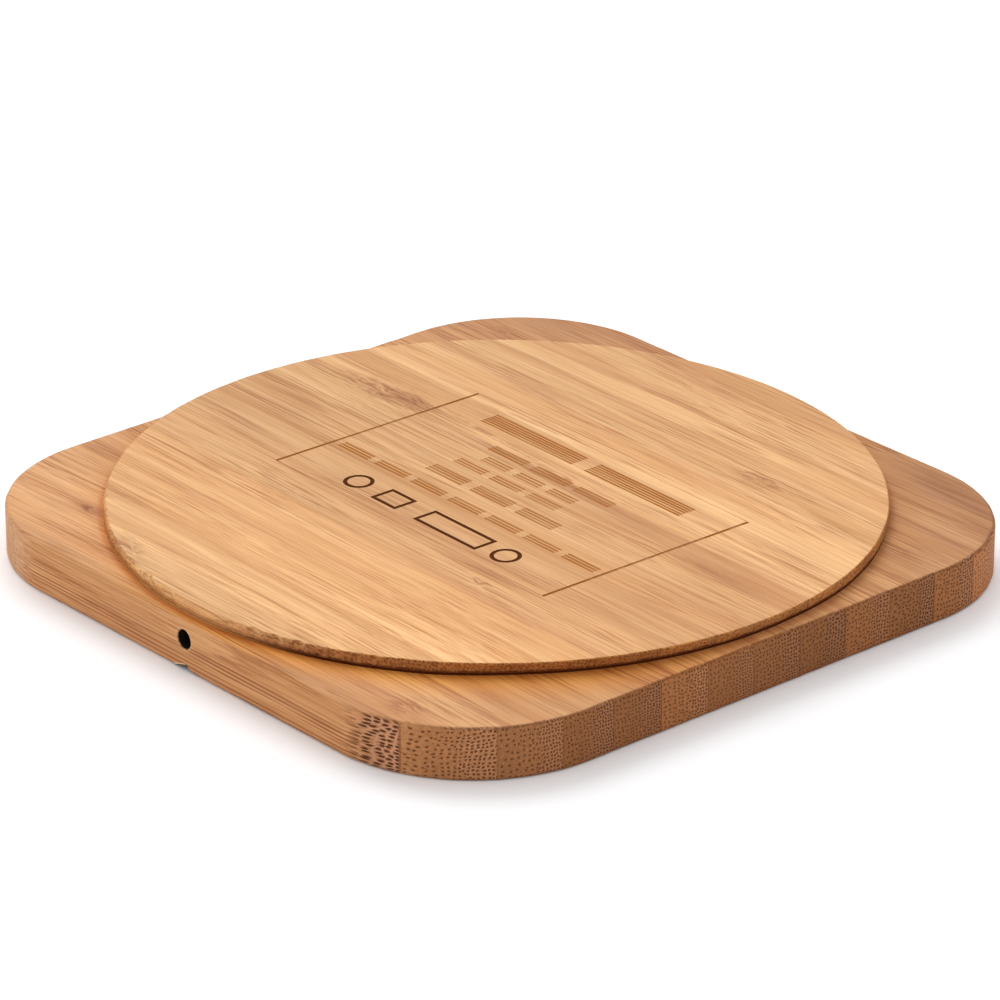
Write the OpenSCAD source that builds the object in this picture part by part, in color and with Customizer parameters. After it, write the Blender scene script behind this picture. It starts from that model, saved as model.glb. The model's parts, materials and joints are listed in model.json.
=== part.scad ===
// Flat square wireless charging pad of laminated bamboo with a round base cover.
// The pad lies with its charging face down at z = 0 and its base cover up, and is turned over for use.
// Origin: centre of the charging face, on the axis of the coil.
// The grain runs along X. The sight hole is on the -Y side and the cable socket on the +Y side.

/* [Body] */
// Side length of the square body
side = 90; // [88:0.5:100]
// Thickness of the body
body_h = 6.2; // [6.2:0.1:7]
// Radius of the upright corners
corner_r = 18.8; // [12:0.1:24]
// Chamfer that eases the outer edges
edge = 0.4; // [0.2:0.1:0.8]
// Bamboo left between the coil and the phone
charge_wall = 1.2; // [0.8:0.1:1.2]
// Diameter of the round pocket for coil and board
pocket_d = 78; // [77:0.5:79]
// Distance from the middle of the pad to the end wall of the socket bay
bay_reach = 42; // [41.5:0.1:42.5]
// Width of the socket bay
bay_w = 13; // [12.5:0.1:14]

/* [Side openings] */
// Height of the socket and sight hole centres above the charging face
port_z = 3.75; // [3.6:0.05:3.9]
// Diameter of the sight hole for the lamp
sight_d = 2.2; // [1.5:0.1:2.5]
// Width of the round-ended slot for the cable socket
slot_w = 9; // [8.4:0.1:10]
// Height of the slot for the cable socket
slot_h = 3.4; // [3:0.1:3.6]
// Width of the small nick in the lower edge under the sight hole
nick_w = 4; // [1:0.1:5]
// Height of the nick
nick_h = 0.8; // [0.2:0.1:1]

/* [Base cover] */
// Diameter of the base cover
cover_d = 88.6; // [84:0.1:89]
// Thickness of the base cover
cover_t = 1.2; // [0.8:0.1:2]
// Thickness of the glue layer under the cover
tape_t = 0.4; // [0.2:0.1:0.6]
// Width of the glue ring
tape_w = 4; // [2:0.1:4.5]

/* [Label] */
// Size of the engraved frame along X
label_w = 47.4; // [30:0.1:55]
// Size of the engraved frame along Y
label_h = 30; // [20:0.1:40]
// Slant of the label
label_turn = -1.1; // [-5:0.1:5]
// Width of the frame lines
line_w = 0.35; // [0.2:0.05:0.6]
// Depth of the engraving
engrave = 0.15; // [0.05:0.05:0.3]

/* [Coil] */
// Diameter of the litz wire
wire_d = 1; // [0.8:0.05:1.1]
// Distance from turn to turn
pitch = 1.15; // [1.12:0.01:1.2]
// Number of turns
turns = 10; // [6:1:10]
// Radius of the innermost turn, at the middle of the wire
coil_r = 10.9; // [9:0.1:11]
// Diameter of the tinned coil leads
lead_d = 0.8; // [0.6:0.05:0.8]
// Direction of the inner lead, counted from +X
coil_turn = 75; // [70:1:80]

/* [Shield and board] */
// Diameter of the ferrite shield
ferrite_d = 48; // [46:0.5:50]
// Thickness of the ferrite shield
ferrite_t = 0.6; // [0.4:0.1:0.6]
// Width of the board
board_w = 26; // [24:0.5:28]
// Length of the wide part of the board
board_l = 72; // [68:0.5:72]
// Thickness of the board
board_t = 0.8; // [0.6:0.1:1]

/* [Hidden] */
$fn = 96;
cover_z = body_h + tape_t;
top_z = cover_z + cover_t;
film = 0.1;
coil_z = charge_wall + film + wire_d / 2;
ferrite_z = charge_wall + film + wire_d;
bend_r = 0.43;
lead_z = coil_z + 2 * bend_r;
board_z = ferrite_z + ferrite_t + 0.2;
part_z = board_z + board_t + 0.05;
outer_end = coil_r + turns * pitch;
outer_run = 13;
inner_run = outer_end - coil_r + 2.7;
tongue_w = 12;
tongue_reach = bay_reach - 0.3;
sight_reach = pocket_d / 2 - 0.6;
shell_w = 7.5;
shell_h = 2.5;
shell_l = 5.4;
shell_wall = 0.3;
shell_y = side / 2 - 0.6 - shell_l;
cap_size = [3.2, 1.6, 1.6];
input_size = [2, 1.25, 1.25];
resistor_size = [1.6, 0.8, 0.5];
core_size = [4, 4, 2];
led_size = [3, 1.1, 1];

bamboo = [0.76, 0.55, 0.34];
bamboo_light = [0.84, 0.65, 0.42];
dark_glue = [0.12, 0.09, 0.07];
copper = [0.72, 0.4, 0.22];
graphite = [0.2, 0.2, 0.21];
film_white = [0.85, 0.84, 0.8];
mask_green = [0.08, 0.3, 0.16];
tin = [0.75, 0.76, 0.78];
epoxy = [0.06, 0.06, 0.07];
capacitor_tan = [0.62, 0.48, 0.34];
gold = [0.86, 0.68, 0.32];

// ---- Shared shapes ----

// Half section of the body's rim, reaching r outwards from z = 0 to the body's full thickness
module rim_section(r) {
    polygon([
        [0, 0],
        [r - edge, 0],
        [r, edge],
        [r, body_h - edge],
        [r - edge, body_h],
        [0, body_h]
    ]);
}

// Square block with rounded upright corners and chamfered edges
module rounded_block() {
    straight = side - 2 * corner_r;
    for (turn = [0, 180])
        rotate([0, 0, turn])
            translate([-straight / 2, 0, 0])
                rotate([90, 0, 90])
                    linear_extrude(straight)
                        rim_section(side / 2);
    for (turn = [0, 180])
        rotate([0, 0, turn])
            translate([straight / 2, straight / 2, 0])
                rotate([90, 0, 0])
                    linear_extrude(straight)
                        rim_section(corner_r);
    for (turn = [0:90:270])
        rotate([0, 0, turn])
            translate([straight / 2, straight / 2, 0])
                rotate_extrude(angle = 90)
                    rim_section(corner_r);
}

// Round-ended slot, w wide along X and h high along Y, standing on z = 0
module round_slot(w, h, depth) {
    flat = w - h;
    translate([-flat / 2, -h / 2, 0])
        cube([flat, h, depth]);
    for (turn = [0, 180])
        rotate([0, 0, turn])
            translate([flat / 2, 0, 0])
                rotate([0, 0, -90])
                    rotate_extrude(angle = 180)
                        square([h / 2, depth]);
}

// Rectangle frame, line wide, centred on the origin
module line_frame(w, h, line) {
    difference() {
        translate([-w / 2, -h / 2])
            square([w, h]);
        translate([-w / 2 + line, -h / 2 + line])
            square([w - 2 * line, h - 2 * line]);
    }
}

// Row of equal bars, centred on the origin
module bar_row(w, h, count) {
    gap = 0.8 * h;
    bar = (w - (count - 1) * gap) / count;
    for (i = [0:count - 1])
        translate([-w / 2 + i * (bar + gap), -h / 2])
            square([bar, h]);
}

// Bent round wire: from the origin along +X to a quarter bend that ends pointing up
module bend_up(d) {
    translate([0, 0, bend_r])
        rotate([90, 0, 0])
            rotate([0, 0, -90])
                rotate_extrude(angle = 90)
                    translate([bend_r, 0])
                        circle(d = d);
}

// Body of a two-ended chip part, length along X, standing on z = 0
module chip_body(size) {
    inner = 0.68 * size[0];
    translate([-inner / 2, -size[1] / 2, 0])
        cube([inner, size[1], size[2]]);
}

// Tinned ends of the same chip part
module chip_ends(size) {
    end = 0.16 * size[0];
    for (x = [-size[0] / 2, size[0] / 2 - end])
        translate([x, -size[1] / 2, 0])
            cube([end, size[1], size[2]]);
}

// Pads under a two-ended chip part, sticking out 0.2 all round
module chip_pads(size) {
    end = 0.16 * size[0] + 0.4;
    for (x = [-size[0] / 2 - 0.2, size[0] / 2 + 0.2 - end])
        translate([x, -size[1] / 2 - 0.1, -0.05])
            cube([end, size[1] + 0.2, 0.05]);
}

// Gull-wing pins on both long sides of a package that is w deep along Y
module gull_pins(count, w) {
    for (turn = [0, 180], i = [0:count - 1])
        rotate([0, 0, turn])
            translate([(i - (count - 1) / 2) * 1.27 - 0.2, w / 2, 0])
                rotate([90, 0, 90])
                    linear_extrude(0.4)
                        polygon([
                            [0, 0.6],
                            [0.35, 0.6],
                            [0.5, 0],
                            [1.05, 0],
                            [1.05, 0.2],
                            [0.65, 0.2],
                            [0.5, 0.8],
                            [0, 0.8]
                        ]);
}

// Moulded package of a pinned chip, standing 0.1 off the pads
module package(l, w, h) {
    translate([-l / 2, -w / 2, 0.1])
        cube([l, w, h]);
}

// ---- Places on the board ----

module at_resonant_caps() {
    for (x = [-3.6:2.4:3.6])
        translate([x, 25.1, part_z])
            rotate([0, 0, 90])
                children();
}

module at_input_caps() {
    for (x = [-9, 9], y = [30, 33])
        translate([x, y, part_z])
            children();
}

module at_resistors() {
    for (x = [-9, -6, -3], y = [-14:-3:-29])
        translate([x, y, part_z])
            children();
}

module at_switches() {
    for (x = [-6.5, 6.5])
        translate([x, 15, part_z])
            children();
}

module at_controller() {
    translate([0, 3, part_z])
        children();
}

module at_crystal() {
    translate([-6.5, -6, part_z])
        children();
}

module at_inductor() {
    translate([6, -18, part_z])
        children();
}

module at_led() {
    translate([0, -sight_reach + 0.2 + led_size[1] / 2, part_z])
        children();
}

// The two holes for the coil leads
module at_leads() {
    rotate([0, 0, coil_turn]) {
        translate([outer_end, outer_run + bend_r, 0])
            children();
        translate([coil_r + 2 * bend_r + inner_run, -bend_r, 0])
            children();
    }
}

// ---- Outside ----

module body() {
    color(bamboo)
        difference() {
            rounded_block();
            translate([0, 0, charge_wall])
                cylinder(d = pocket_d, h = body_h);
            translate([-bay_w / 2, 0, charge_wall])
                cube([bay_w, bay_reach, body_h]);
            translate([0, bay_reach - 1, port_z])
                rotate([-90, 0, 0])
                    round_slot(slot_w, slot_h, side / 2);
            translate([0, -pocket_d / 2 + 2, port_z])
                rotate([90, 0, 0])
                    cylinder(d = sight_d, h = side / 2);
            translate([0, 0.6 - side / 2, 0])
                rotate([90, 0, 0])
                    linear_extrude(1)
                        polygon([
                            [-nick_w / 2, -0.1],
                            [nick_w / 2, -0.1],
                            [nick_w / 10, nick_h]
                        ]);
        }
}

module label() {
    line_frame(label_w, label_h, line_w);
    translate([0, 11.4])
        bar_row(34.6, 2.8, 2);
    translate([0, 6.2])
        bar_row(21, 1.6, 3);
    translate([-0.8, 3.6])
        bar_row(15.8, 1.6, 3);
    translate([-1.6, 1])
        bar_row(17.7, 1.6, 3);
    translate([0, -2.4])
        bar_row(22, 2, 3);
    translate([0, -6.3])
        bar_row(44.8, 1.5, 7);
    for (x = [-12.9, 13])
        translate([x, -11.4])
            difference() {
                circle(d = 3.6);
                circle(d = 2.6);
            }
    translate([-6.6, -11.4])
        line_frame(4.4, 3.4, 0.5);
    translate([4.2, -11.4])
        line_frame(10.8, 3.4, 0.5);
}

module base_cover() {
    ease = 0.15;
    color(bamboo_light)
        difference() {
            translate([0, 0, cover_z])
                rotate_extrude()
                    polygon([
                        [0, 0],
                        [cover_d / 2 - ease, 0],
                        [cover_d / 2, ease],
                        [cover_d / 2, cover_t - ease],
                        [cover_d / 2 - ease, cover_t],
                        [0, cover_t]
                    ]);
            translate([0.4, 1.3, top_z - engrave])
                rotate([0, 0, label_turn])
                    linear_extrude(1)
                        label();
        }
}

module cover_tape() {
    color(dark_glue)
        translate([0, 0, body_h])
            rotate_extrude()
                translate([pocket_d / 2 + 0.4, 0])
                    square([tape_w, tape_t]);
}

// ---- Coil and shield ----

module coil_tape() {
    color(film_white)
        translate([0, 0, charge_wall])
            cylinder(d = 2 * outer_end + 3, h = film);
}

// The winding is a spiral of half circles with two leads that rise through the board
module coil() {
    color(copper)
        rotate([0, 0, coil_turn])
            translate([0, 0, coil_z]) {
                for (i = [0:turns - 1]) {
                    rotate_extrude(angle = 180)
                        translate([coil_r + i * pitch, 0])
                            circle(d = wire_d);
                    translate([pitch / 2, 0, 0])
                        rotate([0, 0, 180])
                            rotate_extrude(angle = 180)
                                translate([coil_r + (i + 0.5) * pitch, 0])
                                    circle(d = wire_d);
                }
                outer_lead();
                inner_lead();
            }
}

// Straight lead from the last turn, then up
module outer_lead() {
    translate([outer_end, 0, 0])
        rotate([-90, 0, 0])
            cylinder(d = lead_d, h = outer_run);
    translate([outer_end, outer_run, 0])
        rotate([0, 0, 90])
            bend_up(lead_d);
    translate([outer_end, outer_run + bend_r, bend_r])
        cylinder(d = lead_d, h = part_z + 0.4 - coil_z - bend_r);
}

// Lead from the first turn: up, across the winding in the shield's slot, then up
module inner_lead() {
    translate([coil_r, 0, 0])
        rotate([0, 0, -90])
            bend_up(lead_d);
    translate([coil_r + bend_r, -bend_r, 2 * bend_r])
        rotate([180, 0, 180])
            bend_up(lead_d);
    translate([coil_r + bend_r, -bend_r, 2 * bend_r])
        rotate([0, 90, 0])
            cylinder(d = lead_d, h = inner_run);
    translate([coil_r + bend_r + inner_run, -bend_r, 2 * bend_r])
        bend_up(lead_d);
    translate([coil_r + 2 * bend_r + inner_run, -bend_r, 3 * bend_r])
        cylinder(d = lead_d, h = part_z + 0.4 - lead_z - bend_r);
}

// Slot that the inner lead runs in
module lead_slot(h) {
    rotate([0, 0, coil_turn])
        translate([coil_r - 0.8, -bend_r - 0.7, -1])
            cube([ferrite_d, 1.4, h + 2]);
}

module ferrite() {
    color(graphite)
        translate([0, 0, ferrite_z])
            difference() {
                cylinder(d = ferrite_d, h = ferrite_t);
                lead_slot(ferrite_t);
            }
}

module ferrite_tape() {
    color(film_white)
        translate([0, 0, ferrite_z + ferrite_t])
            difference() {
                cylinder(d = board_w - 2, h = 0.2);
                lead_slot(0.2);
            }
}

// ---- Board ----

module circuit_board() {
    color(mask_green)
        translate([0, 0, board_z])
            difference() {
                linear_extrude(board_t)
                    polygon([
                        [-board_w / 2, -board_l / 2],
                        [-tongue_w / 2, -board_l / 2],
                        [-tongue_w / 2, -sight_reach],
                        [tongue_w / 2, -sight_reach],
                        [tongue_w / 2, -board_l / 2],
                        [board_w / 2, -board_l / 2],
                        [board_w / 2, board_l / 2],
                        [tongue_w / 2, board_l / 2],
                        [tongue_w / 2, tongue_reach],
                        [shell_w / 2 + 0.15, tongue_reach],
                        [shell_w / 2 + 0.15, shell_y - 0.15],
                        [-shell_w / 2 - 0.15, shell_y - 0.15],
                        [-shell_w / 2 - 0.15, tongue_reach],
                        [-tongue_w / 2, tongue_reach],
                        [-tongue_w / 2, board_l / 2],
                        [-board_w / 2, board_l / 2]
                    ]);
                translate([0, 0, -1])
                    at_leads()
                        cylinder(d = lead_d + 0.3, h = board_t + 2);
            }
}

module solder_pads() {
    color(tin) {
        at_resonant_caps()
            chip_pads(cap_size);
        at_input_caps()
            chip_pads(input_size);
        at_resistors()
            chip_pads(resistor_size);
        at_inductor()
            chip_pads(core_size);
    }
}

module lead_solder() {
    color(tin)
        at_leads()
            translate([0, 0, board_z + board_t])
                difference() {
                    cylinder(d1 = 2.2, d2 = 1.1, h = 0.4);
                    translate([0, 0, -1])
                        cylinder(d = lead_d, h = 2);
                }
}

module controller() {
    color(epoxy)
        at_controller()
            package(9.9, 3.9, 1.5);
}

module controller_pins() {
    color(tin)
        at_controller()
            gull_pins(7, 3.9);
}

module power_switches() {
    color(epoxy)
        at_switches()
            package(4.9, 3.9, 1.5);
}

module switch_pins() {
    color(tin)
        at_switches()
            gull_pins(4, 3.9);
}

module resonant_caps() {
    color(capacitor_tan)
        at_resonant_caps()
            chip_body(cap_size);
}

module input_caps() {
    color(capacitor_tan)
        at_input_caps()
            chip_body(input_size);
}

module resistors() {
    color(epoxy)
        at_resistors()
            chip_body(resistor_size);
}

module chip_terminals() {
    color(tin) {
        at_resonant_caps()
            chip_ends(cap_size);
        at_input_caps()
            chip_ends(input_size);
        at_resistors()
            chip_ends(resistor_size);
    }
}

module crystal_base() {
    color(film_white)
        at_crystal()
            translate([-1.6, -1.25, 0])
                cube([3.2, 2.5, 0.5]);
}

module crystal_lid() {
    color(tin)
        at_crystal()
            translate([-1.4, -1.05, 0.5])
                cube([2.8, 2.1, 0.25]);
}

module inductor_core() {
    color(graphite)
        at_inductor()
            chip_body(core_size);
}

module inductor_terminals() {
    color(tin)
        at_inductor()
            chip_ends(core_size);
}

module led_body() {
    color(film_white)
        at_led()
            translate([-led_size[0] / 2, 0.1 - led_size[1] / 2, 0])
                cube([led_size[0], led_size[1] - 0.1, led_size[2]]);
}

module led_lens() {
    color(gold)
        at_led()
            translate([-0.9, -led_size[1] / 2, 0.2])
                cube([1.8, 0.1, 0.6]);
}

// ---- Cable socket ----

// Mouth outline of the socket, widest on the cover side, shrunk by the wall
module socket_outline(wall) {
    w = shell_w / 2 - wall;
    h = shell_h / 2 - wall;
    polygon([
        [-w, h],
        [w, h],
        [w, 0.15 * h],
        [w - 0.7, -h],
        [0.7 - w, -h],
        [-w, 0.15 * h]
    ]);
}

module at_socket() {
    translate([0, shell_y, port_z])
        rotate([90, 0, 180])
            children();
}

module usb_shell() {
    color(tin) {
        at_socket()
            linear_extrude(shell_l)
                difference() {
                    socket_outline(0);
                    socket_outline(shell_wall);
                }
        for (x = [-shell_w / 2 - 1.5, shell_w / 2])
            translate([x, shell_y + 0.4, board_z + board_t])
                cube([1.5, 1.6, shell_wall]);
    }
}

module usb_insulator() {
    color(epoxy) {
        difference() {
            at_socket()
                linear_extrude(1.2)
                    socket_outline(shell_wall);
            contact_row(0);
        }
        translate([-1.8, shell_y + 1.2, board_z + board_t - 0.6])
            cube([3.6, shell_l - 2, 0.6]);
    }
}

module usb_contacts() {
    color(gold)
        contact_row(0.8);
}

// Flat contacts that lie on the tongue and end on the board
module contact_row(tip) {
    for (x = [-1.3:0.65:1.3])
        translate([x - 0.15, shell_y - 1, board_z + board_t])
            cube([0.3, shell_l - tip, 0.12]);
}

body();
base_cover();
cover_tape();
coil_tape();
coil();
ferrite();
ferrite_tape();
circuit_board();
solder_pads();
lead_solder();
controller();
controller_pins();
power_switches();
switch_pins();
resonant_caps();
input_caps();
resistors();
chip_terminals();
crystal_base();
crystal_lid();
inductor_core();
inductor_terminals();
led_body();
led_lens();
usb_shell();
usb_insulator();
usb_contacts();
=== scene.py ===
"""Looks of the bamboo charging pad: two wooden pieces in full detail, the socket and every inner part."""

import json
import math

import bpy
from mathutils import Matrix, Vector, noise


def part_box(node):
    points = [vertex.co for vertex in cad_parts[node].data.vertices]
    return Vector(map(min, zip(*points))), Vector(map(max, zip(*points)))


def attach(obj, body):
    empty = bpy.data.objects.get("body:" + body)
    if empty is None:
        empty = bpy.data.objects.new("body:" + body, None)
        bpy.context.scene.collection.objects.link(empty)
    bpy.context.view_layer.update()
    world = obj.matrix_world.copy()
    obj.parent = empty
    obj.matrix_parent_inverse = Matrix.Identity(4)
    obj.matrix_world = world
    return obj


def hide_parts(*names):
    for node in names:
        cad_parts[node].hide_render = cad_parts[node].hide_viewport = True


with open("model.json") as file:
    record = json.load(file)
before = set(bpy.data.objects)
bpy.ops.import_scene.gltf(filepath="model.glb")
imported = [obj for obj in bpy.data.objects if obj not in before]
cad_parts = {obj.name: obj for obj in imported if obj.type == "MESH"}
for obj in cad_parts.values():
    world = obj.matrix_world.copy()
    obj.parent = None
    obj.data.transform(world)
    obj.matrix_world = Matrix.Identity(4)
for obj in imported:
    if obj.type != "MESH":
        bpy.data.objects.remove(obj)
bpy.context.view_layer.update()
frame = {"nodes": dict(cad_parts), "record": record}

# Sizes of the object are in millimetres, and MM turns them into the frame's metres
MM = 0.001
BODY_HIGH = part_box("body")[1] / MM
COVER_LOW, COVER_HIGH = (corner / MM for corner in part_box("base_cover"))
HALF = BODY_HIGH.x
BODY_H = BODY_HIGH.z
BODY_EASE = 0.5  # how far the body's edges are rounded
CORNER_R = 18.8
POCKET_R = 39.0
CHARGE_WALL = 1.2
BAY_HALF = 6.5
BAY_REACH = 42.0
PORT_Z = 3.75
SIGHT_R = 1.1
SLOT_HALF = 4.5
SLOT_R = 1.7
NICK_DEPTH = 1.1
RIM_R = COVER_HIGH.x - 0.03
COVER_AT = (-0.60, 0.22)  # the glued cover sits a little off the body's centre
LIP = 0.12  # how far the cover's rim hangs below its flat underside
UNDERCUT = 0.42  # how far the rim slopes in toward its bottom at the front
FRONT_WAY = (0.97, -0.24)  # direction of the cover's browner side
FRONT_START = 13.0  # how far out that way the browning starts, and where it is full
FRONT_FULL = 27.0
EDGE_R = 44.0  # radius at which the rim's shape follows that browning
GLUE_INNER_R = 39.4
ENGRAVE = 0.06  # depth of the label's upright lines, boxes and rings
SHALLOW = 0.03  # depth of its hairlines and bars
LABEL_AT = (0.4, 1.3)
LABEL_TURN = math.radians(-1.1)
LABEL_SIZE = (47.4, 30.0)
FRAME_LINE = 0.40
HATCH_PITCH = 0.46
HATCH_LINE = 0.33
BOX_LINE = 0.5
MARKS_Y = -11.4  # the row of boxes and rings on the label
STRIP = 6.76  # width of one bamboo strip
STRIPS = 15  # how many strips the lists of levels cover
FADED_X = (-27.5, -24.0)  # where the plain, faded corner of the body ends
FADED_Y = (-36.0, -26.0)
PLAIN_GLOSS = 0.14
WHITE = (1.0, 1.0, 1.0)


# ---- Camera, floor and light ----

def make_camera():
    azimuth, elevation, distance = math.radians(49.07), math.radians(24.42), 0.6517
    aim = Vector((-11.36, 10.10, 0.02)) * MM
    away = Vector((
        math.sin(azimuth) * math.cos(elevation),
        -math.cos(azimuth) * math.cos(elevation),
        math.sin(elevation),
    ))
    data = bpy.data.cameras.new("camera")
    data.sensor_width = 36
    data.lens = 203.0
    data.clip_start = 0.01
    data.clip_end = 20
    camera = bpy.data.objects.new("camera", data)
    camera.location = aim + distance * away
    camera.rotation_euler = (-away).to_track_quat("-Z", "Y").to_euler()
    bpy.context.scene.collection.objects.link(camera)
    bpy.context.scene.camera = camera


def make_floor():
    reach = 4.0
    corners = [(-reach, -reach, 0), (reach, -reach, 0), (reach, reach, 0), (-reach, reach, 0)]
    mesh = bpy.data.meshes.new("floor")
    mesh.from_pydata(corners, [], [(0, 1, 2, 3)])
    floor = bpy.data.objects.new("floor", mesh)
    bpy.context.scene.collection.objects.link(floor)
    material, g, shader = new_material("floor_paper")
    fibre = g.noise(place_mm(g), (0.4, 0.4, 0.4), 3.0)
    g.link(g.mix(fibre, (0.93, 0.925, 0.935), (0.95, 0.945, 0.955)), shader.inputs["Base Color"])
    shader.inputs["Roughness"].default_value = 0.9
    shader.inputs["Specular IOR Level"].default_value = 0.1
    mesh.materials.append(material)


def make_studio_dome():
    """Soft light from all round, a little stronger from above, from the left and from behind."""
    world = bpy.data.worlds.new("studio")
    bpy.context.scene.world = world
    world.use_nodes = True
    g = Graph(world.node_tree)
    background = world.node_tree.nodes["Background"]
    direction = g.add("ShaderNodeTexCoord").outputs["Generated"]
    up = g.ramp(g.parts(direction)[2], 0.0, 0.9, 0.56, 0.93)
    left = g.ramp(g.vector("DOT_PRODUCT", direction, (-0.98, -0.20, 0.0), "Value"), 0.0, 1.0, 0.0, 0.25)
    behind = g.ramp(g.vector("DOT_PRODUCT", direction, (0.25, 0.97, 0.0), "Value"), 0.1, 1.0, 0.0, 0.40)
    g.link(g.sum(up, left, behind), background.inputs["Strength"])
    background.inputs["Color"].default_value = (1, 1, 1, 1)


def make_key_light():
    data = bpy.data.lights.new("key", "AREA")
    data.shape = "DISK"
    data.size = 1.25
    data.energy = 13.0
    key = bpy.data.objects.new("key", data)
    key.location = Vector((-1.15, 0.42, 1.25))
    key.rotation_euler = (-key.location).to_track_quat("-Z", "Y").to_euler()
    bpy.context.scene.collection.objects.link(key)
    bpy.context.scene.view_settings.view_transform = "Standard"


# ---- Node graphs ----

class Graph:
    """Short calls that add nodes to one tree. A socket or a plain value can be given for any input."""

    def __init__(self, tree):
        self.tree = tree

    def link(self, source, target):
        self.tree.links.new(source, target)

    def put(self, value, socket):
        if isinstance(value, bpy.types.NodeSocket):
            self.link(value, socket)
        else:
            socket.default_value = value

    def add(self, kind, inputs=None, **settings):
        node = self.tree.nodes.new(kind)
        for name, value in settings.items():
            setattr(node, name, value)
        for key, value in (inputs or {}).items():
            self.put(value, node.inputs[key])
        return node

    def math(self, operation, a, b=0.0, c=0.0):
        return self.add("ShaderNodeMath", {0: a, 1: b, 2: c}, operation=operation).outputs[0]

    def sum(self, first, *others):
        for other in others:
            first = self.math("ADD", first, other)
        return first

    def product(self, first, *others):
        for other in others:
            first = self.math("MULTIPLY", first, other)
        return first

    def minus(self, a, b):
        return self.math("SUBTRACT", a, b)

    def complement(self, value):
        return self.minus(1.0, value)

    def far(self, a, b):
        """Distance of the point (a, b) from zero."""
        return self.math("SQRT", self.sum(self.product(a, a), self.product(b, b)))

    def vector(self, operation, a, b=(0, 0, 0), output="Vector"):
        return self.add("ShaderNodeVectorMath", {0: a, 1: b}, operation=operation).outputs[output]

    def scaled(self, vector, factor):
        node = self.add("ShaderNodeVectorMath", {0: vector, "Scale": factor}, operation="SCALE")
        return node.outputs["Vector"]

    def xyz(self, x, y, z):
        return self.add("ShaderNodeCombineXYZ", {0: x, 1: y, 2: z}).outputs[0]

    def parts(self, vector):
        return self.add("ShaderNodeSeparateXYZ", {0: vector}).outputs

    def ramp(self, value, low, high, to_low=0.0, to_high=1.0, kind="SMOOTHSTEP"):
        inputs = {"Value": value, "From Min": low, "From Max": high, "To Min": to_low, "To Max": to_high}
        return self.add("ShaderNodeMapRange", inputs, interpolation_type=kind).outputs["Result"]

    def between(self, factor, a, b):
        return self.ramp(factor, 0.0, 1.0, a, b, "LINEAR")

    def noise(self, vector, stretch, detail=2.0, roughness=0.5, output="Fac"):
        """Noise with one cell per 1/stretch millimetres along each axis."""
        where = self.vector("MULTIPLY", vector, stretch)
        inputs = {"Vector": where, "Scale": 1.0, "Detail": detail, "Roughness": roughness}
        return self.add("ShaderNodeTexNoise", inputs).outputs[output]

    def mix(self, factor, a, b):
        a, b = ((*tone, 1) if isinstance(tone, tuple) else tone for tone in (a, b))
        return self.add("ShaderNodeMix", {0: factor, 6: a, 7: b}, data_type="RGBA").outputs[2]

    def shade(self, colour, factor):
        """Colour times a grey factor."""
        return self.vector("MULTIPLY", colour, self.xyz(factor, factor, factor))

    def steps(self, value, levels):
        """Picks one level from a list: value 0 to 1 runs along the list."""
        node = self.add("ShaderNodeValToRGB", {0: value})
        node.color_ramp.interpolation = "CONSTANT"
        elements = node.color_ramp.elements
        elements.remove(elements[1])
        for i, level in enumerate(levels):
            element = elements[0] if i == 0 else elements.new(i / len(levels))
            element.position = i / len(levels)
            element.color = (level, level, level, 1)
        return node.outputs[0]

    def bump(self, height, strength, distance):
        inputs = {"Height": height, "Strength": strength, "Distance": distance}
        return self.add("ShaderNodeBump", inputs).outputs["Normal"]


def new_material(name):
    material = bpy.data.materials.new(name)
    material.use_nodes = True
    return material, Graph(material.node_tree), material.node_tree.nodes["Principled BSDF"]


def place_mm(g, turn=0.0, shift=(0, 0, 0)):
    """The point on the object in millimetres, turned about Z and then shifted."""
    where = g.add("ShaderNodeTexCoord").outputs["Object"]
    inputs = {"Vector": where, "Scale": (1000, 1000, 1000), "Rotation": (0, 0, turn), "Location": shift}
    return g.add("ShaderNodeMapping", inputs).outputs["Vector"]


# ---- Bamboo ----

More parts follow.
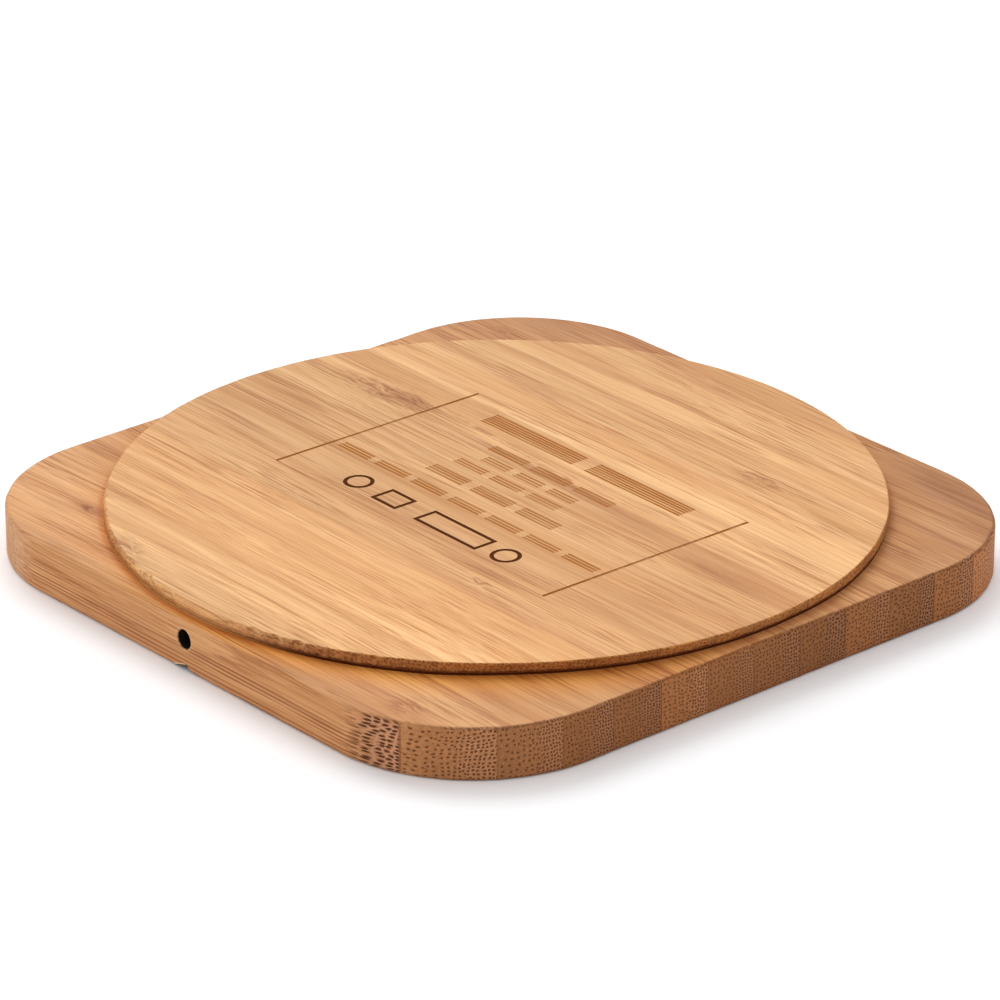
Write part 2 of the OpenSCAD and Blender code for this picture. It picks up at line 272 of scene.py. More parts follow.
class Bamboo:
    """Laminated bamboo: strips side by side across Y, grain along X, fibre bundles as dots on the end grain.

    Each method adds the nodes of one feature. Values from 0 to 1 say how far that feature is present.
    """

    def __init__(self, g, look):
        self.g = g
        self.look = look
        self.tones = look["tones"]
        self.gloss = PLAIN_GLOSS
        here = place_mm(g, look["turn"])
        self.x, self.y, self.z = g.parts(here)
        self.seeded = g.vector("ADD", here, tuple(step * look["seed"] for step in (37.0, 91.0, 53.0)))
        self.read_facing()
        self.read_knuckles()
        self.bend_fibres()
        self.number_strips()
        self.place_bundles()
        self.draw_streaks()

    def paint(self, colour, amount, tone):
        return self.g.mix(amount, colour, self.tones[tone])

    def multiply(self, colour, amount, tone):
        """Multiplies the colour by a tone, as far as the amount says."""
        return self.g.vector("MULTIPLY", colour, self.g.mix(amount, WHITE, self.tones[tone]))

    def read_facing(self):
        """Which way a face looks: along X is end grain, and the -X -Y corner of the body is plainer."""
        g = self.g
        normal = g.add("ShaderNodeNewGeometry").outputs["Normal"]
        self.facing_x, facing_y, facing_z = (g.math("ABSOLUTE", part) for part in g.parts(normal))
        self.cut = g.ramp(self.facing_x, 0.03, 0.22)
        self.upright = g.ramp(facing_y, 0.3, 0.9)
        self.flat = g.ramp(facing_z, 0.35, 0.85)
        self.off_corner = g.math("MAXIMUM", g.ramp(self.x, *FADED_X), g.ramp(self.y, *FADED_Y))
        self.end = g.product(g.ramp(self.facing_x, 0.10, 0.62), g.between(self.off_corner, 0.35, 1.0))

    def read_knuckles(self):
        """Knuckles, where the fibres wave and darken, and the darker clouds of the top."""
        g = self.g
        knot_noise = g.noise(self.seeded, (0.16, 0.7, 0.7))
        cloud_noise = g.noise(self.seeded, (0.05, 0.35, 0.35), 3.0)
        self.knot = self.patches("knots", g.math("MULTIPLY_ADD", knot_noise, 1.1, -0.55), 0.2, 1.0)
        self.cloud = self.patches("clouds", g.math("MULTIPLY_ADD", cloud_noise, 1.6, -0.8), 0.0, 1.2)

    def patches(self, rows, wobble, low, high):
        """Soft ellipses from rows of centre x, centre y, half length, half width, slope and depth."""
        g = self.g
        deepest = 0.0
        for cx, cy, length, width, slope, depth in self.look[rows]:
            dx = g.minus(self.x, cx)
            dy = g.minus(g.minus(self.y, cy), g.product(dx, slope))
            far = g.far(g.math("DIVIDE", dx, length), g.math("DIVIDE", dy, width))
            deepest = g.math("MAXIMUM", g.ramp(g.sum(far, wobble), high, low, 0.0, depth), deepest)
        return deepest

    def sway(self, stretch, reach):
        """Random shift across the grain, of up to half the reach either way."""
        draw = self.g.noise(self.seeded, stretch, 1.0, output="Color")
        return self.g.vector("MULTIPLY", self.g.vector("SUBTRACT", draw, (0.5, 0.5, 0.5)), (0, reach, reach))

    def bend_fibres(self):
        """Fibres wander a little on their way along X, and more in a knuckle."""
        g = self.g
        drift = g.vector("ADD", self.sway((0.012, 0.08, 0.08), 3.2), self.sway((0.06, 0.5, 0.5), 0.35))
        drift = g.vector("ADD", drift, g.scaled(self.sway((0.30, 0.35, 0.35), 2.4), self.knot))
        self.fibre = g.vector("ADD", self.seeded, drift)

    def number_strips(self):
        """The place across each strip, the levels listed for it, and its own random draws."""
        g, look = self.g, self.look
        across = g.math("DIVIDE", g.minus(self.y, look["phase"]), STRIP)
        number = g.math("FLOOR", across)
        self.place = g.minus(across, number)
        index = g.math("DIVIDE", g.sum(number, STRIPS / 2), STRIPS)
        self.end_tone = g.steps(index, look["levels"])
        self.top_tone = g.steps(index, look["top_levels"])
        self.top_rosy = g.steps(index, look["top_rosy"])
        self.dot_level = g.steps(index, look["dot_levels"])
        self.dot_size = g.steps(index, look["dot_sizes"])
        draw = {"W": g.sum(number, 11.3 * look["seed"])}
        luck = g.add("ShaderNodeTexWhiteNoise", draw, noise_dimensions="1D").outputs["Color"]
        self.crowd, jump_y, jump_z = g.add("ShaderNodeSeparateColor", {0: luck}).outputs[:3]
        jump = g.xyz(0.0, g.product(jump_y, 9.0), g.product(jump_z, 9.0))
        self.bundle_at = g.parts(g.vector("ADD", self.fibre, jump))[1:]

    def bundle_layer(self, spacing, radius, blur):
        """Dark dots of one size and the pale net between them, over the whole end grain."""
        g = self.g
        across, up = (g.math("DIVIDE", part, spacing) for part in self.bundle_at)
        inputs = {"Vector": g.xyz(across, up, 0.0), "Scale": 1.0, "Randomness": 0.55}
        cells = g.add("ShaderNodeTexVoronoi", inputs, voronoi_dimensions="2D")
        walls = g.add("ShaderNodeTexVoronoi", inputs, voronoi_dimensions="2D", feature="DISTANCE_TO_EDGE")
        far = g.product(cells.outputs["Distance"], spacing)
        reach = g.product(self.dot_size, radius)
        dots = g.ramp(far, g.sum(reach, blur), g.minus(reach, blur))
        return dots, g.ramp(g.product(walls.outputs["Distance"], spacing), 0.085, 0.015)

    def place_bundles(self):
        """Fibre bundles: large and sparse on the -Y side of a strip, small and crowded on the +Y side."""
        g = self.g
        side_noise = g.noise(self.seeded, (0.03, 0.45, 0.45))
        side = g.sum(self.place, g.math("MULTIPLY_ADD", side_noise, 0.5, -0.25))
        self.dense = g.product(g.ramp(side, 0.45, 0.75), g.between(self.crowd, 0.55, 1.0))
        sparse = self.bundle_layer(0.56, 0.100, 0.043)
        middle = self.bundle_layer(0.47, 0.096, 0.041)
        crowded = self.bundle_layer(0.395, 0.090, 0.037)
        first = g.ramp(side, 0.26, 0.30)
        second = g.ramp(side, 0.58, 0.62)
        dots, net = (g.between(second, g.between(first, a, b), c) for a, b, c in zip(sparse, middle, crowded))
        inner_part = g.product(g.ramp(self.place, 0.0, 0.03), g.ramp(self.place, 1.0, 0.97), self.off_corner)
        self.dots = g.product(dots, inner_part)
        self.net = g.product(net, g.between(self.dense, 0.25, 1.0), inner_part)

    def streaks(self, along, across, detail=2.0, roughness=0.6, shift=0):
        """Noise drawn out along the fibres. Each shift gives a draw of its own."""
        where = self.g.vector("ADD", self.fibre, (shift, 0, 0)) if shift else self.fibre
        return self.g.noise(where, (along, across, across), detail, roughness)

    def draw_streaks(self):
        """Dark lines along the grain, in busy and quiet bands, and the finest fibres."""
        g = self.g
        self.fine = self.streaks(0.050, 3.0, 3.0)
        self.hair = self.streaks(0.12, 8.0)
        busy = g.ramp(self.streaks(0.030, 0.22, roughness=0.5, shift=900), 0.36, 0.62, 0.25, 1.0)
        self.line = g.product(g.ramp(self.streaks(0.046, 2.1, roughness=0.65), 0.53, 0.68), busy)
        self.thin = g.product(g.ramp(self.streaks(0.070, 4.2, shift=500), 0.525, 0.615), busy)

    def long_grain(self):
        """Pale to tan, rosier in bands, with long thin lines."""
        g, look = self.g, self.look
        broad = g.ramp(self.streaks(0.010, 0.24, 3.0), 0.34, 0.66)
        rosy = g.ramp(self.streaks(0.018, 0.34, 3.0, shift=300), 0.48, 0.72, 0.0, look["rosiness"])
        pale_line = g.ramp(self.streaks(0.036, 2.3, roughness=0.65, shift=700), 0.54, 0.70)
        bundle_lines = g.product(self.dots, g.ramp(self.dense, 0.0, 1.0, 0.10, 0.24))
        grain = g.mix(broad, self.tones["pale"], self.tones["tan"])
        grain = self.paint(grain, g.sum(rosy, g.product(self.top_rosy, self.flat)), "rosy")
        grain = self.paint(grain, g.product(pale_line, look["gleam"]), "gleam")
        grain = self.paint(grain, g.product(self.line, look["lines"]), "line")
        grain = self.paint(grain, g.product(self.thin, look["thin"]), "line")
        grain = self.paint(grain, bundle_lines, "line")
        return self.paint(grain, g.ramp(self.place, 0.55, 1.0, 0.0, 0.14), "line")

    def long_sides(self, grain):
        """The faces along X are browner and combed by the saw, and the -X -Y corner is faded."""
        g = self.g
        grain = self.paint(grain, g.product(self.upright, 0.30), "side")
        lines = g.math("MAXIMUM", self.line, self.thin)
        grain = self.paint(grain, g.product(self.upright, lines, 0.22), "line")
        comb_noise = g.noise(self.seeded, (0.02, 0.4, 0.9))
        comb = g.math("PINGPONG", g.sum(g.product(self.z, 4.4), g.product(comb_noise, 2.6)), 1.0)
        patchy = g.ramp(g.noise(self.seeded, (0.05, 0.2, 1.3)), 0.38, 0.54)
        low_part = g.product(g.ramp(self.z, 3.9, 2.9, 0.15, 1.0), g.ramp(self.z, 0.4, 0.7))
        comb = g.product(g.ramp(comb, 0.48, 0.80), patchy, low_part)
        grain = self.paint(grain, g.product(comb, self.upright, 0.80), "comb")
        faded = g.product(g.complement(self.off_corner), g.complement(self.flat), self.cut)
        return self.paint(grain, g.product(faded, 0.45), "faded")

    def end_grain(self):
        """Browner, with a pale net between the bundles and warmer away from the -Y side."""
        g = self.g
        ends = g.mix(g.ramp(self.hair, 0.3, 0.7), self.tones["end"], self.tones["end_pale"])
        ends = self.paint(ends, g.product(self.dense, 0.60), "end_dark")
        ends = self.paint(ends, g.product(self.net, 0.66), "end_net")
        return self.multiply(ends, g.ramp(self.y, -37.0, -27.0), "end_warm")

    def cut_bundles(self, colour):
        """Bundles cut across are dots, and bundles cut at a slant, where a corner turns, are dashes."""
        g = self.g
        slant = g.product(g.ramp(self.facing_x, 0.08, 0.30), g.ramp(self.facing_x, 0.62, 0.46))
        dashed = g.product(slant, g.ramp(self.place, 0.25, 0.85), self.off_corner)
        colour = self.paint(colour, g.product(dashed, 0.50), "dashed")
        colour = self.paint(colour, g.product(self.net, dashed, 0.60), "dashed_net")
        depth = g.product(self.cut, g.between(self.dense, 0.84, 0.95), self.dot_level)
        depth = g.product(depth, g.between(self.flat, 1.0, 0.25))
        return self.paint(colour, g.product(self.dots, depth), "dot")

    def knuckle_marks(self, colour):
        """Short strokes in a rosy patch."""
        g = self.g
        strokes = g.ramp(self.streaks(0.24, 1.7, roughness=0.55), 0.47, 0.62)
        depth = g.math("MULTIPLY_ADD", strokes, 0.55, 0.14)
        return self.paint(colour, g.product(self.knot, depth), "knot")

    def shaded(self, colour):
        """Each strip has its own shade, a thin glue line runs between two strips, and a painted light falloff
        runs along X on the level faces.
        """
        g, end = self.g, self.end
        level = g.between(self.flat, g.between(end, self.look["side_level"], self.end_tone), self.top_tone)
        # Painted light falloff: the level faces change from one level at -X to another at +X, as the look's
        # shade gives.
        reach, painted_light_low, painted_light_high = self.look["shade"]
        grit = g.noise(self.seeded, (1.2, 4.2, 4.2), 2.0, 0.6)
        seam = g.ramp(self.place, 0.955, 0.995)
        level = g.product(
            level,
            g.between(self.flat, 1.0, g.ramp(self.x, -reach, reach, painted_light_low, painted_light_high)),
            g.ramp(self.fine, 0.3, 0.7, 1.07, 0.93),
            g.ramp(self.hair, 0.25, 0.75, 1.05, 0.95),
            g.ramp(grit, 0.3, 0.7, g.between(end, 1.01, 1.14), g.between(end, 0.99, 0.86)),
            g.complement(g.product(seam, g.between(end, 0.05, 0.22))),
        )
        return self.multiply(g.shade(colour, level), g.product(self.cloud, self.flat), "umber")

    def roughness(self):
        g = self.g
        return g.ramp(g.sum(self.fine, g.product(self.dots, 0.3)), 0.3, 0.9, 0.58, 0.80)

    def relief(self):
        """Fine fibres stand up a little, and the dots of the end grain are pits."""
        g = self.g
        pits = g.product(self.dots, g.between(self.cut, 0.15, 1.0))
        return g.minus(g.sum(g.product(self.hair, 0.5), g.product(self.fine, 0.6)), pits)


def from_cover_centre(wood):
    g = wood.g
    return g.far(g.minus(wood.x, COVER_AT[0]), g.minus(wood.y, COVER_AT[1]))


def toward_front(g, x, y):
    """From 0 on the -X side to 1 round the +X side, where the rim is browner."""
    across = g.sum(g.product(x, FRONT_WAY[0]), g.product(y, FRONT_WAY[1]))
    return g.ramp(across, FRONT_START, FRONT_FULL)


def painted_rim_shadow(wood, colour):
    """Painted shade that the cover lays on the body: a warm shade round its +X side and a dark shadow line
    under its rim.
    """
    g, x, y = wood.g, wood.x, wood.y
    rough = g.noise(wood.seeded, (1.1, 1.1, 1.1))
    far = g.sum(from_cover_centre(wood), g.math("MULTIPLY_ADD", rough, 0.5, -0.25))
    on_top = g.ramp(wood.z, BODY_H - 0.3, BODY_H - 0.1)
    # Painted warm shade on the body, strongest round the +X side of the cover.
    near = g.ramp(g.sum(g.product(x, 0.6), g.product(y, -0.8)), 22.0, 42.0, 0.20, 0.90)
    reach = g.ramp(x, 20.0, 42.0, RIM_R + 5.0, RIM_R + 7.5)
    colour = wood.multiply(colour, g.product(g.ramp(far, reach, RIM_R + 0.1), on_top, near), "painted_warm_shade")
    # Painted shadow: a dark line on the body right under the cover's rim.
    line = g.product(g.ramp(far, RIM_R + 0.9, RIM_R + 0.2), on_top)
    return wood.multiply(colour, g.product(line, g.between(toward_front(g, x, y), 0.65, 0.30)), "band")


def bored_hole(wood, colour):
    """The sight hole's wall is painted almost black as shade, right up to its pale rim."""
    g = wood.g
    far = g.far(wood.x, g.minus(wood.z, PORT_Z))
    wall = g.product(g.ramp(wood.y, 0.16 - HALF, 0.30 - HALF), g.ramp(far, SIGHT_R + 0.2, SIGHT_R + 0.1))
    dark = g.math("MAXIMUM", wall, g.ramp(far, SIGHT_R + 0.05, SIGHT_R + 0.01))
    rim = g.ramp(far, SIGHT_R + 0.42, SIGHT_R + 0.26, 0.0, 0.25)
    front = g.ramp(wood.y, -POCKET_R + 2.0, -POCKET_R + 1.0)
    colour = wood.paint(colour, g.product(rim, front), "gleam")
    # Painted shade on the wall of the hole.
    return wood.paint(colour, g.product(dark, front), "soot_and_shade")


def torn_nick(wood, colour):
    """The broken nick in the edge under the hole is painted dark inside, as shade."""
    g = wood.g
    deep = g.product(g.ramp(wood.y, 0.06 - HALF, 0.20 - HALF), g.ramp(wood.y, 1.4 - HALF, 1.2 - HALF))
    low = g.product(g.ramp(wood.z, 1.1, 1.0), g.ramp(wood.z, -0.1, 0.0))
    inside = g.product(deep, g.ramp(g.math("ABSOLUTE", wood.x), 2.5, 2.3), low)
    # Painted shade inside the nick.
    return wood.paint(colour, g.product(inside, 0.9), "char_and_shade")


def scorched_edge(wood, colour):
    """The cover was cut hot: its edge is brown. Round the +X side its lower corner is almost black, partly
    charring and partly painted shadow of the gap under the rim.
    """
    g = wood.g
    edge = g.product(g.ramp(from_cover_centre(wood), RIM_R - 1.2, RIM_R - 1.0), g.complement(wood.flat))
    rough = g.noise(wood.seeded, (1.4, 1.4, 2.0), 3.0)
    height = g.sum(wood.z, g.math("MULTIPLY_ADD", rough, 0.5, -0.25))
    front = toward_front(g, wood.x, wood.y)
    side = g.product(edge, g.complement(front))
    colour = wood.multiply(colour, side, "worn")
    specks = g.ramp(g.noise(wood.seeded, (3.2, 3.2, 3.6), 1.0), 0.52, 0.64, 0.0, 0.55)
    colour = wood.paint(colour, g.product(edge, specks, g.between(front, 0.18, 1.0)), "char_and_shade")
    toasted = g.product(edge, g.ramp(height, COVER_HIGH.z - 0.05, COVER_HIGH.z - 0.45, 0.0, 0.22), front)
    colour = wood.paint(colour, toasted, "knot")
    amber = g.product(side, g.ramp(height, COVER_LOW.z + 0.60, COVER_LOW.z + 0.25, 0.0, 0.85))
    colour = wood.paint(colour, amber, "amber")
    # Partly charring and partly painted shadow: the lower corner round the +X side is almost black.
    black = g.product(edge, g.ramp(height, COVER_LOW.z + 0.30, COVER_LOW.z - 0.02, 0.0, 0.80), front)
    return wood.paint(colour, black, "soot_and_shade")


def burnt_label(wood, colour):
    """Whatever lies under the cover's top is scorched and dull, and the row of marks is charred."""
    g = wood.g
    below = g.ramp(wood.z, COVER_HIGH.z - 0.004, COVER_HIGH.z - 0.02)
    inside = g.ramp(g.far(wood.x, wood.y), 38.0, 37.0)
    along, down = g.parts(place_mm(g, -LABEL_TURN, (-LABEL_AT[0], -LABEL_AT[1], 0)))[:2]
    half_long, half_high = (size / 2 for size in LABEL_SIZE)
    upright_line = g.ramp(g.math("ABSOLUTE", along), half_long - 1.1, half_long - 0.7)
    long_line = g.ramp(g.math("ABSOLUTE", down), half_high - 0.7, half_high - 0.4)
    long_line = g.product(long_line, g.complement(upright_line))
    strength = g.sum(g.ramp(down, -3.0, -9.0, 0.80, 1.0), g.ramp(down, 6.0, 9.0, 0.0, 0.20))
    patchy = g.ramp(g.noise(wood.seeded, (0.10, 0.9, 0.9), 3.0, 0.6), 0.35, 0.62, 0.72, 1.08)
    strength = g.between(g.ramp(down, -8.0, -9.0), g.product(strength, patchy), 1.0)
    burnt = g.product(below, inside, g.between(long_line, strength, 0.45))
    charred = g.between(g.math("MAXIMUM", upright_line, long_line), g.ramp(down, -8.0, -9.4), 0.22)
    wood.gloss = g.between(burnt, wood.gloss, 0.01)
    return g.mix(burnt, colour, g.mix(charred, wood.tones["scorch"], wood.tones["char_and_shade"]))


def bamboo(name, look):
    """The finished wood. The marks and painted shade that the look lists are laid over it in turn."""
    material, g, shader = new_material(name)
    wood = Bamboo(g, look)
    colour = g.mix(wood.end, wood.long_sides(wood.long_grain()), wood.end_grain())
    colour = wood.shaded(wood.knuckle_marks(wood.cut_bundles(colour)))
    for overlay in look["stains_and_painted_shade"]:
        colour = overlay(wood, colour)
    g.link(colour, shader.inputs["Base Color"])
    g.put(wood.gloss, shader.inputs["Specular IOR Level"])
    g.link(wood.roughness(), shader.inputs["Roughness"])
    g.link(g.bump(wood.relief(), 0.35, 0.00006), shader.inputs["Normal"])
    return material


# Looks of the two woods. Lists run over the strips from -Y to +Y. Knots and clouds are rows of
# centre x, centre y, half length, half width, slope and depth. Shade is the painted light falloff along X
# on the level faces: a reach and the levels at -X and +X.
BODY_LOOK = {
    "turn": 0.0, "seed": 1.0, "phase": -2.6,
    "rosiness": 0.80, "lines": 0.50, "gleam": 0.22, "thin": 0.74,
    "side_level": 1.09, "shade": (45.0, 1.04, 0.99),
    "levels": [1.42, 1.52, 1.24, 1.00, 0.97, 1.25, 1.04, 0.99, 0.90, 1.10, 0.95, 1.18, 1.55, 1.6, 1.6],
    # The strips at the back (+Y) of the top are darker: painted shade.
    "top_levels": [0.90, 0.97, 0.94, 0.90, 0.87] + [0.86] * 6 + [0.84, 0.80, 0.78, 0.80],
    "top_rosy": [0.0, 0.0, 0.0, 0.05] + [0.1] * 7 + [0.15, 0.25, 0.25, 0.25],
    "dot_levels": [0.95, 1.0, 0.95, 0.95, 0.95, 0.95, 0.85, 1.0, 0.95, 1.0, 0.95, 1.0, 0.95, 0.95, 0.9],
    "dot_sizes": [1.40, 1.08, 1.02, 1.08, 1.10, 1.12, 1.08, 1.15, 1.15, 1.15, 1.20, 1.20, 1.20, 1.20, 1.15],
    "knots": [
        (32.0, -40.5, 3.8, 2.6, 0.0, 0.6),
        (-41.5, -12.0, 4.5, 2.5, 0.0, 0.55),
        (-29.0, -35.4, 3.4, 1.0, 0.0, 1.0),
        (-38.0, 33.0, 6.0, 2.6, 0.0, 0.45),
    ],
    "clouds": [
        (-37.0, 40.0, 12.0, 4.5, 0.0, 0.75),
        (32.0, 41.0, 14.0, 4.5, 0.0, 0.80),
        (40.0, 25.0, 6.0, 6.0, 0.0, 0.40),
        (-29.5, -35.4, 4.5, 1.5, 0.0, 1.0),
        (-41.0, -23.0, 4.0, 3.5, 0.0, 0.3),
        (-33.0, -38.0, 8.0, 1.0, 0.0, 0.3),
        (39.0, -33.0, 7.0, 2.0, 0.0, 0.4),
    ],
    "stains_and_painted_shade": (painted_rim_shadow, bored_hole, torn_nick),
    "tones": {
        "pale": (0.724, 0.395, 0.180), "tan": (0.588, 0.283, 0.118), "rosy": (0.504, 0.222, 0.100),
        "line": (0.336, 0.118, 0.042), "gleam": (0.819, 0.503, 0.251), "side": (0.546, 0.245, 0.082),
        "comb": (0.25, 0.072, 0.028), "faded": (0.62, 0.36, 0.21), "knot": (0.27, 0.078, 0.027),
        "umber": (0.74, 0.66, 0.66),
        "end": (0.232, 0.089, 0.030), "end_pale": (0.284, 0.118, 0.043), "end_dark": (0.180, 0.063, 0.023),
        "end_net": (0.392, 0.200, 0.106), "end_warm": (1.03, 0.94, 0.82), "dot": (0.062, 0.018, 0.006),
        "dashed": (0.250, 0.084, 0.036), "dashed_net": (0.56, 0.29, 0.17),
        # Painted warm shade round the cover, and the painted shadow line under its rim.
        "painted_warm_shade": (1.04, 0.80, 0.32), "band": (0.86, 0.55, 0.24),
        # The last two tones here paint only shade in the body: inside the nick and on the sight hole's wall.
        "char_and_shade": (0.07, 0.022, 0.008), "soot_and_shade": (0.012, 0.008, 0.006),
    },
}

COVER_LOOK = {
    "turn": math.radians(1.2), "seed": 2.0, "phase": 1.3,
    "rosiness": 0.70, "lines": 0.44, "gleam": 0.18, "thin": 0.62,
    "side_level": 1.0, "shade": (42.0, 0.92, 1.05),
    "levels": [1.0, 0.95, 1.06, 1.0, 0.96, 1.05, 0.93, 0.98, 1.04, 0.95, 1.05, 0.97, 1.03, 0.96, 1.0],
    "top_levels": [0.95, 1.04, 1.09, 1.07, 0.97, 0.92, 0.93, 0.93, 0.98, 1.02, 0.93, 0.96, 0.93, 0.88, 0.88],
    "top_rosy": [0.0, 0.0, 0.0, 0.0, 0.22, 0.28, 0.24, 0.20, 0.05, 0.0, 0.05, 0.0, 0.08, 0.15, 0.15],
    "dot_levels": [0.6, 0.5, 0.7, 0.8, 0.6, 0.7, 0.5, 0.7, 0.6, 0.8, 0.6, 0.5, 0.7, 0.6, 0.6],
    "dot_sizes": [1.0, 0.9, 1.0, 1.1, 0.9, 1.0, 1.0, 1.1, 1.0, 1.0, 0.9, 1.0, 1.0, 1.0, 1.0],
    "knots": [
        (16.5, 25.0, 6.0, 2.2, 0.0, 0.85),
        (-31.0, 8.6, 9.5, 3.4, 0.0, 0.9),
        (-26.5, 9.4, 3.5, 1.4, 0.0, 1.0),
        (17.0, -16.6, 2.2, 1.3, 0.0, 0.9),
        (-15.5, -40.5, 4.2, 2.4, -0.3, 0.9),
        (-9.0, 9.3, 21.0, 0.55, -0.085, 0.75),
    ],
    "clouds": [
        (-27.0, 8.9, 6.5, 1.5, 0.05, 1.0),
        (-36.0, 8.4, 8.0, 0.9, -0.05, 0.6),
        (6.0, 6.4, 22.0, 1.7, -0.05, 0.55),
        (31.0, 4.8, 14.0, 1.8, -0.03, 0.65),
        (2.0, -11.8, 26.0, 2.6, 0.0, 0.35),
        (14.0, -14.2, 12.0, 1.0, 0.02, 0.85),
        (-33.0, -3.0, 9.0, 2.8, 0.0, 0.35),
        (-10.0, -17.5, 12.0, 2.0, 0.0, 0.30),
        (0.0, 32.5, 26.0, 0.7, 0.0, 0.50),
        (12.0, 41.0, 18.0, 1.2, 0.0, 0.35),
        (30.0, -9.0, 10.0, 2.6, 0.0, 0.30),
        (16.5, 24.6, 6.5, 1.6, 0.0, 0.35),
        (32.0, 15.5, 13.0, 3.4, 0.0, 0.40),
    ],
    "stains_and_painted_shade": (scorched_edge, burnt_label),
    "tones": {
        "pale": (0.793, 0.470, 0.220), "tan": (0.655, 0.342, 0.142), "rosy": (0.567, 0.273, 0.118),
        "line": (0.381, 0.144, 0.050), "gleam": (0.886, 0.583, 0.302), "side": (0.618, 0.300, 0.101),
        "comb": (0.381, 0.144, 0.050), "faded": (0.62, 0.36, 0.21), "knot": (0.29, 0.088, 0.030),
        "umber": (0.72, 0.62, 0.58),
        "end": (0.43, 0.166, 0.041), "end_pale": (0.53, 0.222, 0.064), "end_dark": (0.27, 0.094, 0.025),
        "end_net": (0.57, 0.27, 0.090), "end_warm": WHITE, "dot": (0.15, 0.050, 0.016),
        "dashed": (0.38, 0.15, 0.05), "dashed_net": (0.60, 0.30, 0.13),
        "worn": (1.24, 1.25, 1.20), "amber": (0.42, 0.185, 0.058), "scorch": (0.37, 0.135, 0.028),
        # The last tone here is the almost black lower corner of the rim: charring and painted shadow.
        "char_and_shade": (0.088, 0.024, 0.005), "soot_and_shade": (0.058, 0.012, 0.003),
    },
}


# ---- Plain materials of the other parts ----

def speckled(name, low, high, roughness, metallic=0.0, coat=0.0, scale=2.0, stretch=(1, 1, 1), relief=0.15,
             depth=0.00002):
    """A surface whose tone, roughness and relief vary with one fine noise and one broad noise."""
    material, g, shader = new_material(name)
    here = place_mm(g)
    grain = g.noise(here, tuple(scale * s for s in stretch), 4.0, 0.6)
    cloud = g.noise(here, (0.15, 0.15, 0.15))
    tone = g.sum(g.product(grain, 0.7), g.product(cloud, 0.3))
    g.link(g.mix(g.ramp(tone, 0.3, 0.7), low, high), shader.inputs["Base Color"])
    g.link(g.ramp(grain, 0.3, 0.7, *roughness), shader.inputs["Roughness"])
    shader.inputs["Metallic"].default_value = metallic
    shader.inputs["Coat Weight"].default_value = coat
    g.link(g.bump(grain, relief, depth), shader.inputs["Normal"])
    return material


def circuit_mask(name):
    """Green solder mask with faint copper tracks under it."""
    material, g, shader = new_material(name)
    here = place_mm(g)
    inputs = {"Vector": g.vector("MULTIPLY", here, (0.8, 0.8, 0)), "Scale": 1.0, "Randomness": 0.6}
    cells = g.add("ShaderNodeTexVoronoi", inputs, distance="MANHATTAN")
    track = g.ramp(g.math("PINGPONG", g.product(cells.outputs["Distance"], 4.0), 1.0), 0.55, 0.62)
    weave = g.noise(here, (6.0, 6.0, 6.0))
    base = g.mix(weave, (0.010, 0.085, 0.035), (0.018, 0.12, 0.05))
    g.link(g.mix(g.product(track, 0.5), base, (0.03, 0.20, 0.075)), shader.inputs["Base Color"])
    g.link(g.ramp(weave, 0.3, 0.7, 0.22, 0.36), shader.inputs["Roughness"])
    height = g.sum(g.product(track, 0.6), g.product(weave, 0.3))
    g.link(g.bump(height, 0.3, 0.00003), shader.inputs["Normal"])
    return material


def wound_copper(name):
    """Litz wire: fine strands that twist round the bundle, under clear enamel."""
    material, g, shader = new_material(name)
    here = place_mm(g)
    x, y, z = g.parts(here)
    angle = g.math("ARCTAN2", y, x)
    strand = g.math("SINE", g.sum(g.product(angle, 90.0), g.product(z, 16.0)))
    rub = g.noise(here, (3.0, 3.0, 3.0), 3.0)
    tone = g.ramp(g.sum(g.product(strand, 0.3), rub), 0.2, 0.9)
    g.link(g.mix(tone, (0.42, 0.14, 0.055), (0.80, 0.36, 0.17)), shader.inputs["Base Color"])
    g.link(g.ramp(rub, 0.3, 0.7, 0.28, 0.42), shader.inputs["Roughness"])
    shader.inputs["Metallic"].default_value = 0.85
    g.link(g.bump(strand, 0.4, 0.00004), shader.inputs["Normal"])
    return material


def glue_with_painted_rim_shadow():
    """Adhesive that was pressed out: orange-brown on the -X side, and almost black round the +X side, where
    its face under the cover's rim is a painted shadow line.
    """
    material, g, shader = new_material("pressed_glue_look")
    here = place_mm(g)
    x, y = g.parts(here)[:2]
    grain = g.noise(here, (1.6, 1.6, 3.0), 3.0, 0.6)
    left = g.mix(grain, (0.44, 0.185, 0.052), (0.60, 0.28, 0.090))
    # Almost black round the +X side: painted shadow line under the cover's rim.
    front = g.mix(grain, (0.046, 0.009, 0.002), (0.100, 0.022, 0.005))
    g.link(g.mix(toward_front(g, x, y), left, front), shader.inputs["Base Color"])
    g.link(g.ramp(grain, 0.3, 0.7, 0.75, 0.95), shader.inputs["Roughness"])
    shader.inputs["Specular IOR Level"].default_value = 0.05
    g.link(g.bump(grain, 0.6, 0.00012), shader.inputs["Normal"])
    return material


